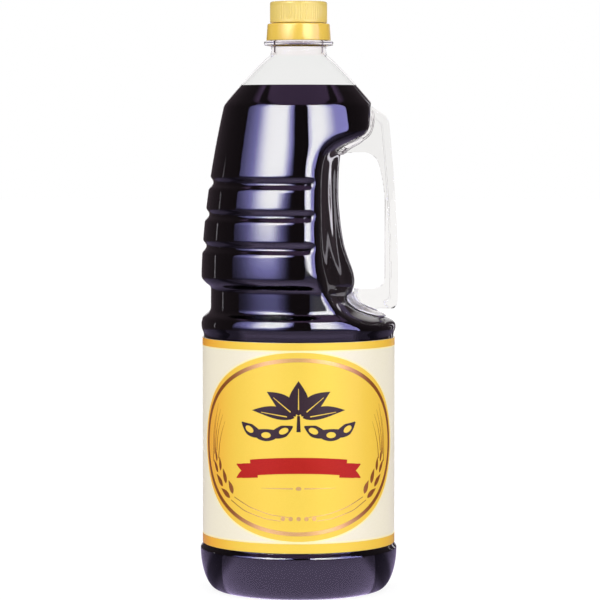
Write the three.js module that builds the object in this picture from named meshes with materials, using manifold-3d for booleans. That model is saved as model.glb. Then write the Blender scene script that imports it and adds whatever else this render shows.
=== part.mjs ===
// A large soy sauce bottle: clear ringed body with a recess for the hand, dark sauce, clear moulded handle,
// wrapped paper label, pouring collar and ribbed cap.
// Millimetres, +Z up. The origin is on the floor under the middle of the base, and the handle points along +X.

import * as THREE from "three";
import { mergeVertices } from "three/addons/utils/BufferGeometryUtils.js";
import Module from "manifold-3d";

// Driving dimensions of the whole
const BOTTLE_HEIGHT = 314;
const WALL = 0.8;
const GAP = 0.3;
const SEGMENTS = 36;
const SAUCE_LEVEL = 270.3;

// Base: a flat foot ring round a domed hollow, and an oval heel up to the lip under the label
const FOOT_INNER_RADIUS = 41;
const FOOT_OUTER_RADIUS = 43;
const DOME_HEIGHT = 7;
const HEEL_HEIGHT = 22.3;
const LIP_RADIUS = 52.6;
const HEEL_STEPS = 5;

// Label panel and the paper wrapped round it
const PANEL_RADIUS = 50.8;
const PANEL_BOTTOM = 24.6;
const PANEL_TOP = 136.3;
const LABEL_BOTTOM = 25.5;
const LABEL_TOP = 135.4;
const LABEL_THICKNESS = 0.3;

// Ringed upper body: it narrows upwards from its lower edge to the shoulder corner
const UPPER_RADIUS = 52.1;
const UPPER_BOTTOM = 167.1;
const CORNER_HEIGHT = 258.8;
const CORNER_NARROWING = 12.2;
const NARROWING_POWER = 1.7;
const GROOVE_LOWEST = 183.9;
const GROOVE_PITCH = 16.9;
const GROOVE_COUNT = 3;
const GROOVE_DEPTH = 2;
const GROOVE_HALF_WIDTH = 3.8;
const GROOVE_FADE = 12;

// Bead over the label, waist, and the lower edge of the upper body, as [height, radius]
const WAIST_KNOTS = [
  [PANEL_TOP, PANEL_RADIUS],
  [138.0, 51.1],
  [140.0, 52.0],
  [143.0, 52.2],
  [146.4, 51.4],
  [148.5, 48.8],
  [149.6, 47.1],
  [159.9, 47.1],
  [161.5, 46.0],
  [162.7, 47.2],
  [164.6, 50.3],
  [UPPER_BOTTOM, UPPER_RADIUS],
];

// Conical shoulder, slightly bulged, from the corner to the neck
const CONE_BOTTOM = 260.9;
const CONE_BOTTOM_RADIUS = 38.4;
const CONE_TOP = 285.2;
const CONE_TOP_RADIUS = 15.9;
const CONE_BULGE = 0.6;

// Neck, its support ring, and the mouth that the collar and cap cover
const NECK_RADIUS = 14.7;
const NECK_BOTTOM = 286.9;
const RING_BOTTOM = 290.1;
const RING_TOP = 293;
const RING_RADIUS = 18.5;
const MOUTH_RADIUS = 13.8;
const MOUTH_BORE = 12.4;
const MOUTH_TOP = 310;

// Recess behind the handle, as [height, reach of its keel along X, reach of its front and back edges]
const RECESS_KNOTS = [
  [144.4, 51.9, 27.3],
  [146.2, 46.6, 24.3],
  [147.7, 41.5, 22.3],
  [149.5, 36.0, 19.4],
  [151.9, 31.4, 17.7],
  [154.5, 28.6, 16.0],
  [157.0, 27.6, 14.4],
  [160.0, 28.8, 12.6],
  [164.1, 30.5, 10.4],
  [170.2, 29.6, 8.9],
  [176.2, 27.1, 8.4],
  [184.3, 24.4, 8.2],
  [194.5, 22.7, 8.4],
  [208.7, 21.3, 8.8],
  [220.8, 21.5, 9.9],
  [228.9, 22.6, 12.2],
  [233.5, 23.3, 15.7],
  [236.6, 30.9, 22.3],
  [238.6, 35.8, 33.4],
  [241.1, 36.8, 36.8],
  [248.2, 37.7, 37.7],
  [262.3, 38.4, 38.4],
];
const RECESS_EDGE_ROUNDING = 5;
const KEEL_ROUNDING = 0.12;

// Handle: an upright grip between two arms, with an outer flange along the whole of it
const HANDLE_REACH = 53.1;
const HANDLE_TOP = 258.9;
const HANDLE_FOOT = 150.4;
const GRIP_INNER = 46.3;
const WEB_HALF_WIDTH = 5;
const FLANGE_HALF_WIDTH = 9;
const FLANGE_THICKNESS = 3.8;
const OPENING_BOTTOM = 161;
const OPENING_TOP = 234.2;
const OPENING_FILLET = 7;
const PAD_THICKNESS = 1.8;
const CEILING_PAD = { low: [14, -19, 232.2], high: [40, 19, 243] };
const UPPER_PAD = { low: [30, -14, 241], high: [44, 14, 257.7] };
const LOWER_PAD = { low: [26, -15, 145.5], high: [49.2, 15, 159.5] };

// Cap and collar
const CAP_RADIUS = 15.2;
const CAP_BOTTOM = 302.7;
const CAP_TOP_THICKNESS = 1.8;
const CAP_RIBS = 40;
const RIB_DEPTH = 0.35;
const COLLAR_RADIUS = 17.2;
const COVER_BORE = MOUTH_RADIUS + GAP;

const wasm = await Module();
wasm.setup();

// Straight-line reading of a list of knots: the value in the given column at a height
function readKnots(knots, height, column) {
  const last = knots.length - 1;
  const above = knots.findIndex((knot) => knot[0] >= height);
  if (above === 0) return knots[0][column];
  if (above < 0) return knots[last][column];
  const [low, high] = [knots[above - 1], knots[above]];
  const share = (height - low[0]) / (high[0] - low[0]);
  return THREE.MathUtils.lerp(low[column], high[column], share);
}

// Radius of the oval heel at a height
function heelRadius(height) {
  const rise = 1 - height / HEEL_HEIGHT;
  return FOOT_OUTER_RADIUS + (LIP_RADIUS - FOOT_OUTER_RADIUS) * Math.sqrt(1 - rise * rise);
}

// Radius of the upper body without its grooves
function upperRadius(height) {
  const share = Math.max(0, (height - UPPER_BOTTOM) / (CORNER_HEIGHT - UPPER_BOTTOM));
  return UPPER_RADIUS - CORNER_NARROWING * share ** NARROWING_POWER;
}

// Radius of the conical shoulder
function coneRadius(height) {
  const share = (height - CONE_BOTTOM) / (CONE_TOP - CONE_BOTTOM);
  const bulge = CONE_BULGE * 4 * share * (1 - share);
  return THREE.MathUtils.lerp(CONE_BOTTOM_RADIUS, CONE_TOP_RADIUS, share) + bulge;
}

// Radius of the round body, with no grooves and no recess
function roundRadius(height) {
  if (height <= HEEL_HEIGHT) return heelRadius(height);
  if (height < PANEL_BOTTOM) {
    return THREE.MathUtils.mapLinear(height, HEEL_HEIGHT, PANEL_BOTTOM, LIP_RADIUS, PANEL_RADIUS);
  }
  if (height < UPPER_BOTTOM) return readKnots(WAIST_KNOTS, height, 1);
  if (height <= CORNER_HEIGHT) return upperRadius(height);
  if (height >= CONE_BOTTOM) return coneRadius(height);
  const cornerRadius = upperRadius(CORNER_HEIGHT);
  return THREE.MathUtils.mapLinear(height, CORNER_HEIGHT, CONE_BOTTOM, cornerRadius, CONE_BOTTOM_RADIUS);
}

// Centre heights of the three grooves
function grooveCentres() {
  return Array.from({ length: GROOVE_COUNT }, (_, index) => GROOVE_LOWEST + index * GROOVE_PITCH);
}

// Depth of the grooves at a height: a smooth hollow across each one
function grooveDepth(height) {
  return grooveCentres().reduce((depth, centre) => {
    const across = Math.min(1, Math.abs(height - centre) / GROOVE_HALF_WIDTH);
    return depth + GROOVE_DEPTH * Math.cos((across * Math.PI) / 2) ** 2;
  }, 0);
}

// Smaller of two lengths, with the corner between them rounded over a width
function roundedMinimum(first, second, width) {
  const share = THREE.MathUtils.clamp(0.5 + (second - first) / (2 * width), 0, 1);
  return THREE.MathUtils.lerp(second, first, share) - width * share * (1 - share);
}

// Distance from the axis to the wedge-shaped wall of the recess, or far outside the body away from it
function recessRadius(height, angle, radius) {
  const keel = readKnots(RECESS_KNOTS, height, 1);
  const edge = Math.min(readKnots(RECESS_KNOTS, height, 2), radius);
  const halfWidth = Math.sqrt(Math.max(radius * radius - edge * edge, 1));
  const lean = (keel - edge) / halfWidth;
  const side = Math.hypot(Math.sin(angle), KEEL_ROUNDING) - KEEL_ROUNDING;
  const facing = Math.cos(angle) + lean * side;
  const farRadius = 3 * radius;
  return facing > keel / farRadius ? keel / facing : farRadius;
}

// Outer radius of the body at a height and an angle from +X
function skinRadius(height, angle) {
  const round = roundRadius(height);
  if (height < RECESS_KNOTS[0][0] || height > CONE_BOTTOM) return round;
  const recess = recessRadius(height, angle, round);
  const room = THREE.MathUtils.clamp((recess - round) / GROOVE_FADE, 0, 1);
  const grooved = round - grooveDepth(height) * room;
  return roundedMinimum(grooved, recess, RECESS_EDGE_ROUNDING);
}

// Point of the body's skin, moved inwards along the surface normal by an inset
function skinPoint(height, angle, inset) {
  const step = 0.5;
  const turn = 0.01;
  const radius = skinRadius(height, angle);
  const slope = (skinRadius(height + step, angle) - skinRadius(height - step, angle)) / (2 * step);
  const twist = (skinRadius(height, angle + turn) - skinRadius(height, angle - turn)) / (2 * turn * radius);
  const share = inset / Math.hypot(1, slope, twist);
  const outwards = new THREE.Vector2(Math.cos(angle), Math.sin(angle));
  const along = outwards.clone().rotateAround(new THREE.Vector2(), Math.PI / 2);
  const flat = outwards.multiplyScalar(radius - share).addScaledVector(along, share * twist);
  return new THREE.Vector3(flat.x, flat.y, height + share * slope);
}

// A row of a lathe that stays round
function roundRow(radius, height) {
  return { radius, height };
}

// A row of a lathe that follows the body's skin at an inset
function skinRow(height, inset) {
  return { radius: roundRadius(height), height, inset };
}

// Lathe whose skin rows are moved onto the body's skin, recess and grooves included
function shapedLathe(rows) {
  const profile = rows.map((row) => new THREE.Vector2(row.radius, row.height));
  const geometry = new THREE.LatheGeometry(profile, SEGMENTS);
  geometry.rotateX(Math.PI / 2);
  const position = geometry.attributes.position;
  for (let index = 0; index < position.count; index += 1) {
    const row = rows[index % rows.length];
    if (row.inset === undefined) continue;
    const angle = Math.atan2(position.getY(index), position.getX(index));
    const point = skinPoint(row.height, angle, row.inset);
    position.setXYZ(index, point.x, point.y, point.z);
  }
  return geometry;
}

// Closed mesh as a solid for joining and cutting, without the flat triangles at its poles
function toSolid(geometry) {
  const bare = geometry.clone();
  bare.deleteAttribute("normal");
  bare.deleteAttribute("uv");
  const merged = mergeVertices(bare, 1e-4);
  const corners = Array.from(merged.index.array);
  const kept = corners.filter((_, index) => {
    const first = index - (index % 3);
    return new Set(corners.slice(first, first + 3)).size === 3;
  });
  const mesh = new wasm.Mesh({
    numProp: 3,
    vertProperties: new Float32Array(merged.attributes.position.array),
    triVerts: new Uint32Array(kept),
  });
  return new wasm.Manifold(mesh);
}

// Solid back to a mesh's geometry
function toGeometry(solid) {
  const mesh = solid.getMesh();
  const geometry = new THREE.BufferGeometry();
  geometry.setAttribute("position", new THREE.BufferAttribute(new Float32Array(mesh.vertProperties), 3));
  geometry.setIndex(new THREE.BufferAttribute(new Uint32Array(mesh.triVerts), 1));
  geometry.computeVertexNormals();
  return geometry;
}

// Heights of the rows up the heel, evenly spaced round its oval
function heelHeights() {
  return Array.from({ length: HEEL_STEPS }, (_, index) => {
    const quarter = ((index + 1) / HEEL_STEPS) * (Math.PI / 2);
    return HEEL_HEIGHT * (1 - Math.cos(quarter));
  });
}

// Heights of the rows across the grooves, each groove by the same shares of its half width
function grooveHeights(shares) {
  return grooveCentres().flatMap((centre) => shares.map((share) => centre + share * GROOVE_HALF_WIDTH));
}

// Heights of the rows of the outside, from the label panel to the neck
function outerHeights() {
  const bead = [PANEL_BOTTOM, PANEL_TOP, 138, 140, 143, 144.6, 146.4, 148.5, 149.6];
  const waist = [151.9, 154.5, 157.2, 159.9, 161.5, 162.7, 164.6, UPPER_BOTTOM, 171];
  const rings = grooveHeights([-1, -0.5, 0, 0.5, 1]);
  const top = [228, 232, 234.5, 236.6, 238.6, 241.1, 249, CORNER_HEIGHT, CONE_BOTTOM, SAUCE_LEVEL, CONE_TOP];
  return [...bead, ...waist, ...rings, ...top];
}

// Heights of the rows of the inside and of the sauce, which need fewer
function innerHeights() {
  const bead = [PANEL_BOTTOM, PANEL_TOP, 140.4, 144, 146.7, 149.2, 152.4, 156.5];
  const waist = [160.2, 162.5, 164.7, 167.7];
  const rings = grooveHeights([-0.9, 0, 0.9]);
  const top = [229, 233.5, 236.6, 239.5, 243, 251, CORNER_HEIGHT, CONE_BOTTOM];
  return [...bead, ...waist, ...rings, ...top];
}

// Rows of the inside at an inset, from the middle of its domed floor up to the shoulder
function insideRows(inset) {
  return [
    roundRow(0, DOME_HEIGHT + inset),
    roundRow(30, 4.6 + inset),
    roundRow(40.3 - inset, 1.3 + inset),
    roundRow(FOOT_OUTER_RADIUS - 0.2 - inset / 4, inset),
    ...[...heelHeights(), ...innerHeights()].map((height) => skinRow(height, inset)),
  ];
}

// Radius of the shoulder's inside at a height, with its wall measured square to the slope
function shoulderInside(height, inset) {
  const slope = (coneRadius(height + 1) - coneRadius(height - 1)) / 2;
  return coneRadius(height) - inset * Math.hypot(1, slope);
}

// Clear body: one thin wall from the foot to the open mouth
function bottleGeometry() {
  const outside = shapedLathe([
    roundRow(0, DOME_HEIGHT),
    roundRow(30, 4.6),
    roundRow(39.8, 1.3),
    roundRow(FOOT_INNER_RADIUS, 0),
    roundRow(FOOT_OUTER_RADIUS, 0),
    ...[...heelHeights(), ...outerHeights()].map((height) => skinRow(height, 0)),
    roundRow(NECK_RADIUS, NECK_BOTTOM),
    roundRow(NECK_RADIUS, RING_BOTTOM - 0.8),
    roundRow(RING_RADIUS - 0.4, RING_BOTTOM + 0.4),
    roundRow(RING_RADIUS, RING_TOP - 1.2),
    roundRow(RING_RADIUS - 0.3, RING_TOP),
    roundRow(MOUTH_RADIUS, RING_TOP),
    roundRow(MOUTH_RADIUS, MOUTH_TOP),
    roundRow(0, MOUTH_TOP),
  ]);
  const inside = shapedLathe([
    ...insideRows(WALL),
    roundRow(shoulderInside(SAUCE_LEVEL, WALL), SAUCE_LEVEL),
    roundRow(shoulderInside(CONE_TOP - 3, WALL), CONE_TOP - 3),
    roundRow(MOUTH_BORE, NECK_BOTTOM),
    roundRow(MOUTH_BORE, MOUTH_TOP + 1),
    roundRow(0, MOUTH_TOP + 1),
  ]);
  return toGeometry(toSolid(outside).subtract(toSolid(inside)));
}

// Sauce: it fills the body, clear of the wall, up to a flat surface in the shoulder
function sauceGeometry() {
  const inset = WALL + GAP;
  return shapedLathe([
    ...insideRows(inset),
    roundRow(shoulderInside(SAUCE_LEVEL, inset), SAUCE_LEVEL),
    roundRow(0, SAUCE_LEVEL),
  ]);
}

// Solid envelope of the body beside the handle, grown outwards by a distance
function bodyEnvelope(growth) {
  const heights = outerHeights().filter((height) => height >= PANEL_TOP && height <= SAUCE_LEVEL);
  return toSolid(shapedLathe([
    roundRow(0, PANEL_TOP - growth),
    ...heights.map((height) => skinRow(height, -growth)),
    roundRow(0, SAUCE_LEVEL + growth),
  ]));
}

// Side outline extruded across the bottle, half of it to each side of the middle
function crossSlab(shape, halfWidth) {
  const slab = new THREE.ExtrudeGeometry(shape, { depth: 2 * halfWidth, bevelEnabled: false, curveSegments: 4 });
  slab.translate(0, 0, -halfWidth);
  slab.rotateX(Math.PI / 2);
  return toSolid(slab);
}

// Solid box between its lower and upper limits
function boxBetween({ low, high }) {
  const size = high.map((value, axis) => value - low[axis]);
  const middle = high.map((value, axis) => (value + low[axis]) / 2);
  const box = new THREE.BoxGeometry(...size);
  box.translate(...middle);
  return toSolid(box);
}

// Outer edge of the handle from its top to its foot, added to a path and moved inwards by an inset
function drawOuterEdge(path, inset) {
  const reach = HANDLE_REACH - inset;
  const foot = HANDLE_FOOT + inset;
  path.lineTo(43.1 - inset / 2, 255.5 - inset);
  path.quadraticCurveTo(47.8 - inset, 253.2 - inset, 48.2 - inset, 249.2);
  path.quadraticCurveTo(reach - 0.1, 200.6, reach, 170.2);
  path.lineTo(reach - 0.2, foot + 4);
  path.quadraticCurveTo(reach - 0.4, foot, reach - 4, foot);
}

// Side outline of the arms and grip: its left ends run into the body, which is cut away afterwards
function webShape() {
  const shape = new THREE.Shape();
  shape.moveTo(34.4, HANDLE_TOP);
  drawOuterEdge(shape, 0);
  shape.lineTo(24.3, 152.9);
  shape.lineTo(24.3, OPENING_BOTTOM);
  shape.lineTo(GRIP_INNER - OPENING_FILLET, OPENING_BOTTOM);
  shape.quadraticCurveTo(GRIP_INNER, OPENING_BOTTOM, GRIP_INNER, OPENING_BOTTOM + OPENING_FILLET);
  shape.lineTo(GRIP_INNER, 208.7);
  shape.quadraticCurveTo(GRIP_INNER - 1, 219.8, 43, 227.9);
  shape.quadraticCurveTo(41, OPENING_TOP - 0.4, 34.4, OPENING_TOP);
  shape.lineTo(24.3, OPENING_TOP - 0.4);
  shape.lineTo(18.2, 232.6);
  shape.lineTo(18.2, 243);
  return shape;
}

// Side outline of the flange that runs along the outer edge
function flangeShape() {
  const shape = new THREE.Shape();
  shape.moveTo(36.5, HANDLE_TOP - 0.6);
  drawOuterEdge(shape, 0);
  shape.lineTo(44.6, HANDLE_FOOT);
  shape.lineTo(44.6, HANDLE_FOOT + FLANGE_THICKNESS);
  const inner = new THREE.Path();
  inner.moveTo(36.5, HANDLE_TOP - 0.6 - FLANGE_THICKNESS);
  drawOuterEdge(inner, FLANGE_THICKNESS);
  inner.getPoints(4).reverse().forEach((point) => shape.lineTo(point.x, point.y));
  return shape;
}

// Handle: web, flange and body-hugging pads in one piece, cut to lie against the body
function handleGeometry() {
  const padBoxes = [CEILING_PAD, UPPER_PAD, LOWER_PAD].map(boxBetween);
  const pads = bodyEnvelope(PAD_THICKNESS).intersect(padBoxes[0].add(padBoxes[1]).add(padBoxes[2]));
  const web = crossSlab(webShape(), WEB_HALF_WIDTH);
  const flange = crossSlab(flangeShape(), FLANGE_HALF_WIDTH);
  return toGeometry(web.add(flange).add(pads).subtract(bodyEnvelope(GAP)));
}

// Label: paper wrapped round the panel
function labelGeometry() {
  const inner = PANEL_RADIUS + GAP;
  const outer = inner + LABEL_THICKNESS;
  return shapedLathe([
    roundRow(inner, LABEL_BOTTOM),
    roundRow(outer, LABEL_BOTTOM),
    roundRow(outer, LABEL_TOP),
    roundRow(inner, LABEL_TOP),
    roundRow(inner, LABEL_BOTTOM),
  ]);
}

// Collar: the wide ring under the cap, drawn in to the cap's width at its top
function collarGeometry() {
  const bottom = RING_TOP + GAP;
  const top = CAP_BOTTOM - GAP;
  return shapedLathe([
    roundRow(COVER_BORE, bottom),
    roundRow(COLLAR_RADIUS, bottom),
    roundRow(COLLAR_RADIUS, bottom + 1),
    roundRow(COLLAR_RADIUS - 0.4, top - 2.6),
    roundRow(CAP_RADIUS + 1, top - 0.8),
    roundRow(CAP_RADIUS + 0.2, top),
    roundRow(COVER_BORE, top),
    roundRow(COVER_BORE, bottom),
  ]);
}

// Rows of the cap, a cup over the mouth, with the ribbed stretch of its side marked
function capRows() {
  const ceiling = BOTTLE_HEIGHT - CAP_TOP_THICKNESS;
  return [
    roundRow(0, ceiling),
    roundRow(COVER_BORE, ceiling),
    roundRow(COVER_BORE, CAP_BOTTOM),
    roundRow(CAP_RADIUS, CAP_BOTTOM),
    roundRow(CAP_RADIUS, CAP_BOTTOM + 1),
    { ...roundRow(CAP_RADIUS, CAP_BOTTOM + 1.2), ribbed: true },
    { ...roundRow(CAP_RADIUS, BOTTLE_HEIGHT - 1.5), ribbed: true },
    roundRow(CAP_RADIUS - 0.5, BOTTLE_HEIGHT - 0.5),
    roundRow(CAP_RADIUS - 1.2, BOTTLE_HEIGHT),
    roundRow(0, BOTTLE_HEIGHT),
  ];
}

// Cap: every second column of the lathe is drawn inwards along the ribbed rows
function capGeometry() {
  const rows = capRows();
  const profile = rows.map((row) => new THREE.Vector2(row.radius, row.height));
  const geometry = new THREE.LatheGeometry(profile, 2 * CAP_RIBS);
  geometry.rotateX(Math.PI / 2);
  const position = geometry.attributes.position;
  const share = 1 - RIB_DEPTH / CAP_RADIUS;
  for (let index = 0; index < position.count; index += 1) {
    const column = Math.floor(index / rows.length);
    if (!rows[index % rows.length].ribbed || column % 2 === 0) continue;
    position.setX(index, position.getX(index) * share);
    position.setY(index, position.getY(index) * share);
  }
  return geometry;
}

// Named mesh with its own finish
function piece(name, geometry, color, roughness) {
  const material = new THREE.MeshStandardMaterial({ color, roughness, metalness: 0 });
  const mesh = new THREE.Mesh(geometry, material);
  mesh.name = name;
  return mesh;
}

const bottle = new THREE.Group();
bottle.add(piece("bottle", bottleGeometry(), 0xe8edee, 0.06));
bottle.add(piece("soy_sauce", sauceGeometry(), 0x170c0b, 0.08));
bottle.add(piece("handle", handleGeometry(), 0xeff0ee, 0.12));
bottle.add(piece("label", labelGeometry(), 0xf3d860, 0.42));
bottle.add(piece("pour_collar", collarGeometry(), 0xf1dc79, 0.35));
bottle.add(piece("cap", capGeometry(), 0xf2dd7c, 0.35));

export default bottle;
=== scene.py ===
"""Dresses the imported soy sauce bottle: clear ringed body, sauce, handle, printed label, collar and cap.

Sizes in the classes are millimetres and become metres when a mesh is made. +X is the handle's side, -Y the front.
"""

import logging
import math
from dataclasses import dataclass, field
from enum import Enum
from functools import reduce

import bpy
import numpy as np
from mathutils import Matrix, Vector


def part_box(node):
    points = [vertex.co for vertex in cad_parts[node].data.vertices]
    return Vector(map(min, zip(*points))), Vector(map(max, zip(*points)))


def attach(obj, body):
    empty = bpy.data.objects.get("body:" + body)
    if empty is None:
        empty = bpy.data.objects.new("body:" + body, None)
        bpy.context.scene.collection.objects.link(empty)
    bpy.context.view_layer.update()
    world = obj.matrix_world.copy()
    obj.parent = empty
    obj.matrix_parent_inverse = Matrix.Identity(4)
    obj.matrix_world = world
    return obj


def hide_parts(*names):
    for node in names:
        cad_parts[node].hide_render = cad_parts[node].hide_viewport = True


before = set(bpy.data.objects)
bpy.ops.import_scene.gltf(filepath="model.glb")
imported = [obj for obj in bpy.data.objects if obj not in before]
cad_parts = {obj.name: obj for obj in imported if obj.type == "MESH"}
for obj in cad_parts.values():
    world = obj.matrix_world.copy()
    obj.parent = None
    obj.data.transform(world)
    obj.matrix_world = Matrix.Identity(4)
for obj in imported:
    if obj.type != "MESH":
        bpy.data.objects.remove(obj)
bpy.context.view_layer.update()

MM = 0.001
SHARP_ANGLE = math.radians(38)
LOG = logging.getLogger("bottle")


def node_span(node: str) -> tuple[np.ndarray, np.ndarray]:
    """Returns the lowest and highest corner of a CAD node in millimetres."""
    low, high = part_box(node)
    return np.array(low) / MM, np.array(high) / MM


def paint(code: str) -> tuple[float, float, float, float]:
    """Reads six hexadecimal digits as linear light: each channel is ((c + 0.055) / 1.055) to the power 2.4."""
    parts = [int(code[start:start + 2], 16) / 255 for start in (0, 2, 4)]
    light = [part / 12.92 if part <= 0.04045 else ((part + 0.055) / 1.055) ** 2.4 for part in parts]
    return (*light, 1.0)


# Surfaces


def grid_faces(rows: int, columns: int, loop: bool) -> np.ndarray:
    """Quads between the neighbours of a grid whose columns close on themselves."""
    low = np.arange(rows if loop else rows - 1)[:, None]
    left = np.arange(columns)[None, :]
    high, right = (low + 1) % rows, (left + 1) % columns
    corners = [low * columns + left, low * columns + right, high * columns + right, high * columns + left]
    return np.stack(corners, axis=-1).reshape(-1, 4)


@dataclass
class Shell:
    """A closed surface: its points in millimetres and its faces."""

    points: np.ndarray
    quads: np.ndarray
    fans: np.ndarray

    @staticmethod
    def around(grid: np.ndarray, start: np.ndarray | None = None, end: np.ndarray | None = None) -> "Shell":
        """Closes a grid of rings: by a pole at each end, or row to row where no pole is given.

        Args:
            grid: Points, rows by columns by three.
            start: Pole before the first row.
            end: Pole after the last row.
        """
        rows, columns = grid.shape[:2]
        ring = np.arange(columns)
        following = (ring + 1) % columns
        points, fans = [grid.reshape(-1, 3)], [np.zeros((0, 3), int)]
        if start is not None:
            count, last = rows * columns, (rows - 1) * columns
            points += [np.array([start, end], float)]
            fans += [np.stack([np.full(columns, count), following, ring], -1)]
            fans += [np.stack([last + ring, last + following, np.full(columns, count + 1)], -1)]
        return Shell(np.concatenate(points), grid_faces(rows, columns, start is None), np.concatenate(fans))

    @staticmethod
    def joined(shells: list["Shell"]) -> "Shell":
        """Puts several shells in one, each with its faces moved on by the points before it."""
        firsts = np.cumsum([0] + [len(shell.points) for shell in shells])
        return Shell(
            np.concatenate([shell.points for shell in shells]),
            np.concatenate([shell.quads + first for shell, first in zip(shells, firsts)]),
            np.concatenate([shell.fans + first for shell, first in zip(shells, firsts)]),
        )

    def make(self, name: str, *materials: bpy.types.Material, marks: np.ndarray | None = None) -> bpy.types.Object:
        """Makes the shell a smooth mesh object at the origin.

        Args:
            name: The piece's name.
            materials: Its material slots in order.
            marks: Slot number of each face, quads first, or none for the first slot.

        Returns:
            The object, linked to the scene.
        """
        mesh = bpy.data.meshes.new(name)
        mesh.from_pydata((self.points * MM).tolist(), [], self.quads.tolist() + self.fans.tolist())
        for material in materials:
            mesh.materials.append(material)
        mesh.polygons.foreach_set("use_smooth", np.ones(len(mesh.polygons), bool))
        if marks is not None:
            mesh.polygons.foreach_set("material_index", marks.astype(np.int32))
        mesh.set_sharp_from_angle(angle=SHARP_ANGLE)
        mesh.update()
        piece = bpy.data.objects.new(name, mesh)
        bpy.context.scene.collection.objects.link(piece)
        return piece


def rings(profile: np.ndarray, angle: np.ndarray) -> np.ndarray:
    """Turns rows of radius and height into rings of points: x = r cos a, y = r sin a, z = z."""
    radius, height = profile[:, 0][:, None], profile[:, 1][:, None]
    return np.stack([radius * np.cos(angle), radius * np.sin(angle), height + 0 * angle], -1)


def lathe(profile: np.ndarray, columns: int, poles: bool) -> Shell:
    """Turns a profile about the upright axis, in even columns.

    Args:
        profile: Radius and height of each row, with the solid on the right of its direction.
        columns: Number of columns.
        poles: Whether both ends run to the axis, else the profile is a closed loop.
    """
    grid = rings(profile, np.linspace(0, 2 * np.pi, columns, endpoint=False))
    if not poles:
        return Shell.around(grid)
    return Shell.around(grid, [0, 0, profile[0, 1]], [0, 0, profile[-1, 1]])


def curve(start: np.ndarray, control: np.ndarray, end: np.ndarray, share: np.ndarray) -> np.ndarray:
    """Points on a quadratic curve: (1-s)^2 start + 2s(1-s) control + s^2 end."""
    s = share[:, None]
    return (1 - s) ** 2 * start + 2 * s * (1 - s) * control + s ** 2 * end


def rounded(corners: list[tuple[float, float, float]], steps: int = 5) -> np.ndarray:
    """Rounds the corners of a profile by quadratic curves from side to side, their control points the corners.

    Args:
        corners: First coordinate, second coordinate and the length cut off each side, for each corner.
        steps: Points on each curve.

    Returns:
        The rounded profile, one point a line.
    """
    spots = np.array(corners, float)
    made = []
    for index, (first, second, cut) in enumerate(corners):
        corner = np.array([first, second])
        if cut == 0:
            made.append(corner[None, :])
            continue
        before = spots[index - 1, :2] - corner
        after = spots[(index + 1) % len(spots), :2] - corner
        start = corner + before / np.linalg.norm(before) * cut
        end = corner + after / np.linalg.norm(after) * cut
        made.append(curve(start, corner, end, np.linspace(0, 1, steps)))
    return np.concatenate(made)


def bend(start: tuple, control: tuple, end: tuple, steps: int) -> np.ndarray:
    """Points on a quadratic curve without its first point."""
    return curve(np.array(start), np.array(control), np.array(end), np.linspace(0, 1, steps + 1)[1:])


def traced(first: tuple, *stops: tuple) -> np.ndarray:
    """A path from a first point over stops: each a point, or a curve given as control point, end and count."""
    path = [np.array([first])]
    for stop in stops:
        path.append(bend(path[-1][-1], *stop) if len(stop) == 3 else np.array([stop]))
    return np.concatenate(path)


# Shapes


MARKS = np.arange(0, 2900) / 10


def ramp(value: np.ndarray, start: float, end: float) -> np.ndarray:
    """How far values are on the way from start to end, from 0 to 1."""
    return np.clip((value - start) / (end - start), 0, 1)


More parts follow.
